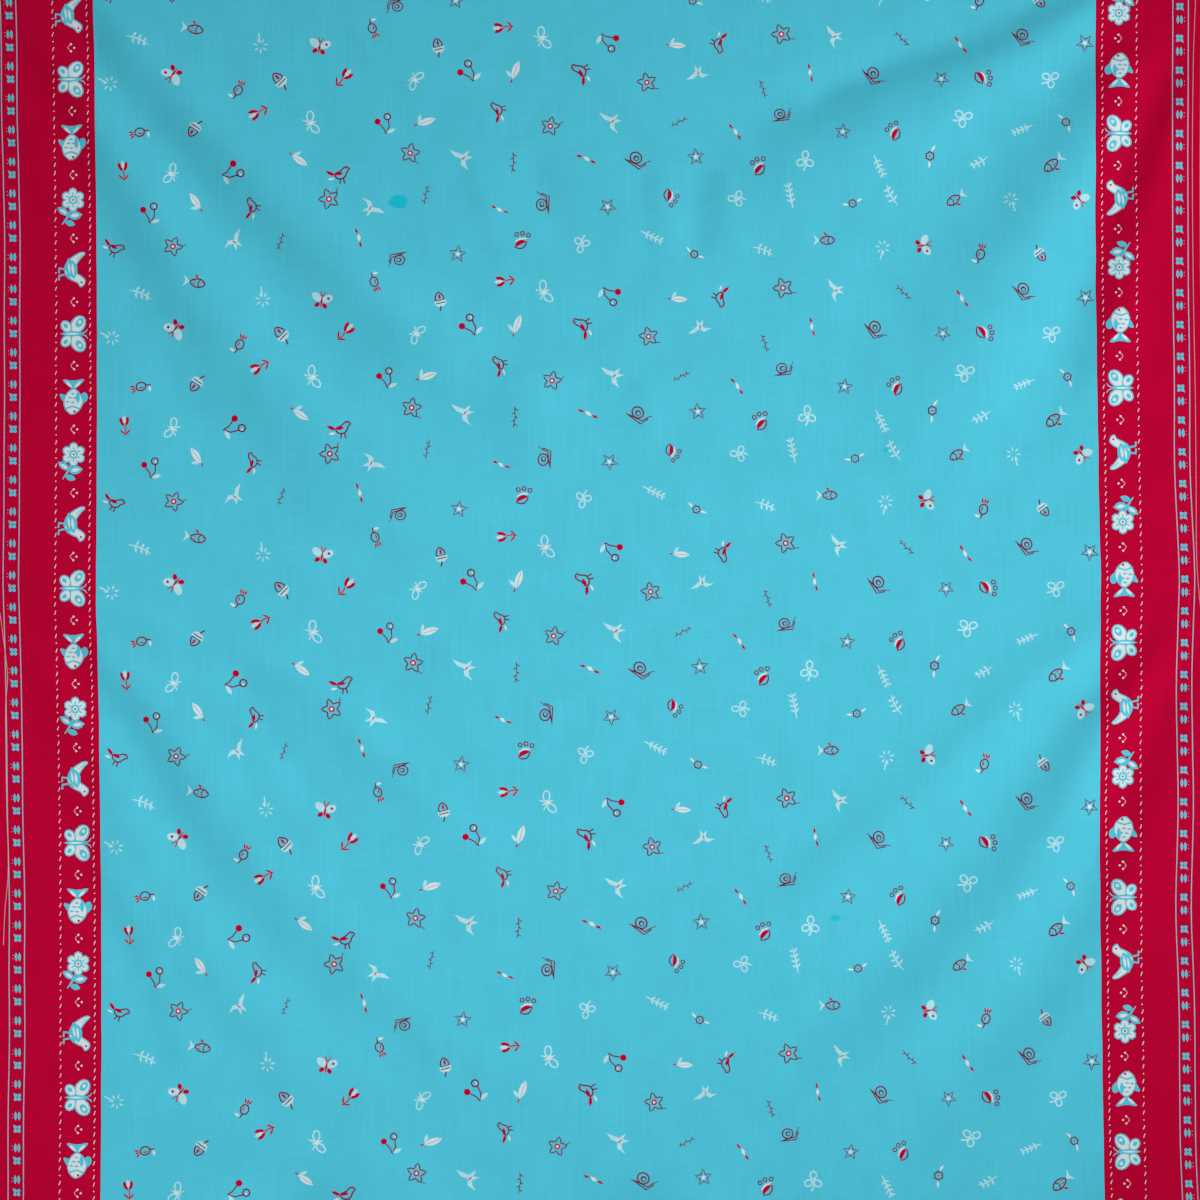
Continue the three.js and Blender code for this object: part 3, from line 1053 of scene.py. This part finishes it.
def ink_material(ink, colour, groups, reverse=False):
    """Printed cotton in one ink, on the printed face or on the paler reverse."""
    side = "reverse" if reverse else "print"
    material = plain_material(f"{ink}_{side}", colour, COTTON_ROUGHNESS)
    tree = material.node_tree
    shader = tree.nodes["Principled BSDF"].inputs
    shader["Specular IOR Level"].default_value = COTTON_SHEEN
    material.diffuse_color = (*colour, 1.0)

    cut = add_node(tree, "UVMap", {}, uv_map="cut").outputs["UV"]
    inputs = {"Cut position": cut, "Thread pitch": THREAD_PITCH}
    weave = add_node(tree, "Group", inputs, node_tree=groups["weave"]).outputs
    streak_show, cloud_show = INK_SHOW[ink]
    inputs = {"Cut position": cut, "Ink": (*colour, 1.0), "Streaks": weave["Streaks"],
              "Streak strength": streak_show, "Cloud strength": cloud_show}
    shade = add_node(tree, "Group", inputs, node_tree=groups["dye"]).outputs["Colour"]
    if ink == BLUE and not reverse:
        for (u, v), radius, strength in BLOTS:
            inputs = {"Centre": (u, v, 0), "Radius": radius, "Cut position": cut}
            blot = add_node(tree, "Group", inputs, node_tree=groups["blot"])
            share = math_node(tree, "MULTIPLY", blot.outputs["Mask"], strength)
            inputs = {"B": BLOT_COLOUR, "Factor": share, "A": shade}
            shade = add_node(tree, "Mix", inputs, data_type="RGBA").outputs["Result"]
    feed(tree, shader["Base Color"], shade)

    inputs = {"Strength": WEAVE_BUMP, "Distance": WEAVE_DEPTH, "Height": weave["Height"]}
    feed(tree, shader["Normal"], add_node(tree, "Bump", inputs).outputs["Normal"])
    return material


def cloth_materials(prints):
    """The inks of the printed face, then the same inks on the reverse."""
    groups = {"weave": weave_group(), "dye": dye_group(), "blot": blot_group()}
    undyed = np.array(prints.undyed)
    made = [ink_material(ink, tuple(getattr(prints, ink)), groups) for ink in INKS]
    for ink in INKS:
        colour = np.array(getattr(prints, ink)) * (1 - REVERSE_PALER) + undyed * REVERSE_PALER
        made.append(ink_material(ink, tuple(colour), groups, reverse=True))
    return made


def plain_material(name, colour, roughness):
    """A material of one colour and roughness."""
    material = bpy.data.materials.new(name)
    material.use_nodes = True
    shader = material.node_tree.nodes["Principled BSDF"]
    shader.inputs["Base Color"].default_value = (*colour, 1.0)
    shader.inputs["Roughness"].default_value = roughness
    return material


def aim(thing, at):
    """Points a light or camera at a place."""
    thing.rotation_euler = (Vector(at) - thing.location).to_track_quat("-Z", "Y").to_euler()


def add_object(name, data):
    """A new object in the scene."""
    made = bpy.data.objects.new(name, data)
    bpy.context.scene.collection.objects.link(made)
    return made


# The soft lights, where each one stands and where it points
LIGHTS = (
    ("key", (4.2, -4.2, -0.9), (0.4, 0, -0.5)),
    ("fill", (0.2, -6.0, -1.1), (-0.6, 0, -1.4)),
    ("back", (-2.0, 5.6, -0.2), (0, 0, -0.5)),
)
LIGHT_SIZE = 1.7        # metres
LIGHT_SPREAD = 25       # degrees; the lights are strongest low on the cloth


# Operators

class FABRIC_OT_hang_cloth(bpy.types.Operator):
    """Prints the cotton, cuts it along its inks and hangs it"""

    bl_idname = "fabric.hang_cloth"
    bl_label = "Hang printed cotton"

    def execute(self, context):
        cloth, prints = context.scene.fabric_cloth, context.scene.fabric_print
        shapes = whole_print(cloth, prints)
        front = inked_triangles(cloth, shapes)
        back = inked_triangles(cloth, shown_through(cloth, shapes))
        mesh = sheet_mesh("printed_cotton", *closed_shell(cloth, front, back))
        for material in cloth_materials(prints):
            mesh.materials.append(material)
        piece = add_object("printed_cotton", mesh)
        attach(piece, "root")
        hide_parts("cloth")
        threads = add_object("loose_threads", thread_mesh("loose_threads", cloth))
        threads.data.materials.append(plain_material("pinkish_thread", (0.62, 0.36, 0.34), 0.8))
        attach(threads, "root")
        return {"FINISHED"}


class FABRIC_OT_set_stage(bpy.types.Operator):
    """Sets the camera, the pale floor and the soft lights"""

    bl_idname = "fabric.set_stage"
    bl_label = "Set the stage"

    def execute(self, context):
        stage, scene = context.scene.fabric_stage, context.scene
        look_at = Vector((stage.view_right, 0, -stage.view_drop))
        camera = add_object("camera", bpy.data.cameras.new("camera"))
        camera.location = look_at - Vector((0, stage.camera_distance, 0))
        camera.data.lens = camera.data.sensor_width * stage.camera_distance / stage.view_width
        aim(camera, look_at)
        scene.camera = camera

        bpy.ops.mesh.primitive_plane_add(size=60, location=(0, 0, CAD_LOW.z - stage.floor_drop))
        floor = context.active_object
        floor.name = "floor"
        floor.data.materials.append(plain_material("pale_floor", (0.82, 0.81, 0.79), 0.7))

        for name, place, at in LIGHTS:
            light = add_object(name, bpy.data.lights.new(name, "AREA"))
            light.data.energy = getattr(stage, f"{name}_power")
            light.data.size = LIGHT_SIZE
            light.data.spread = math.radians(LIGHT_SPREAD)
            light.location = place
            aim(light, at)

        world = bpy.data.worlds.new("pale_room")
        world.use_nodes = True
        tree = world.node_tree
        room = tree.nodes["Background"]
        room.inputs["Color"].default_value = (0.93, 0.95, 0.97, 1.0)
        room.inputs["Strength"].default_value = stage.room_light
        wall = add_node(tree, "Background", {"Color": (0.72, 0.57, 0.515, 1.0)})
        seen = add_node(tree, "LightPath", {}).outputs["Is Camera Ray"]
        either = add_node(tree, "MixShader", {0: seen, 1: room.outputs[0], 2: wall.outputs[0]})
        feed(tree, tree.nodes["World Output"].inputs["Surface"], either.outputs[0])
        scene.world = world
        scene.view_settings.view_transform = "Standard"
        return {"FINISHED"}


class FABRIC_PT_cotton(bpy.types.Panel):
    """Settings and steps of the printed cotton"""

    bl_label = "Printed cotton"
    bl_space_type = "VIEW_3D"
    bl_region_type = "UI"
    bl_category = "Cotton"

    def draw(self, context):
        for group in SETTINGS:
            settings, box = getattr(context.scene, group), self.layout.box()
            for name in settings.__annotations__:
                box.prop(settings, name)
        for operator in (FABRIC_OT_set_stage, FABRIC_OT_hang_cloth):
            self.layout.operator(operator.bl_idname)


SETTINGS = {
    "fabric_cloth": ClothSettings, "fabric_print": PrintSettings, "fabric_stage": StageSettings,
}
CLASSES = (*SETTINGS.values(), FABRIC_OT_hang_cloth, FABRIC_OT_set_stage, FABRIC_PT_cotton)


def register():
    for made in CLASSES:
        bpy.utils.register_class(made)
    for name, group in SETTINGS.items():
        setattr(bpy.types.Scene, name, PointerProperty(type=group))


def unregister():
    for name in SETTINGS:
        delattr(bpy.types.Scene, name)
    for made in reversed(CLASSES):
        bpy.utils.unregister_class(made)


def main():
    register()
    bpy.ops.fabric.set_stage()
    bpy.ops.fabric.hang_cloth()


if __name__ == "__main__":
    main()
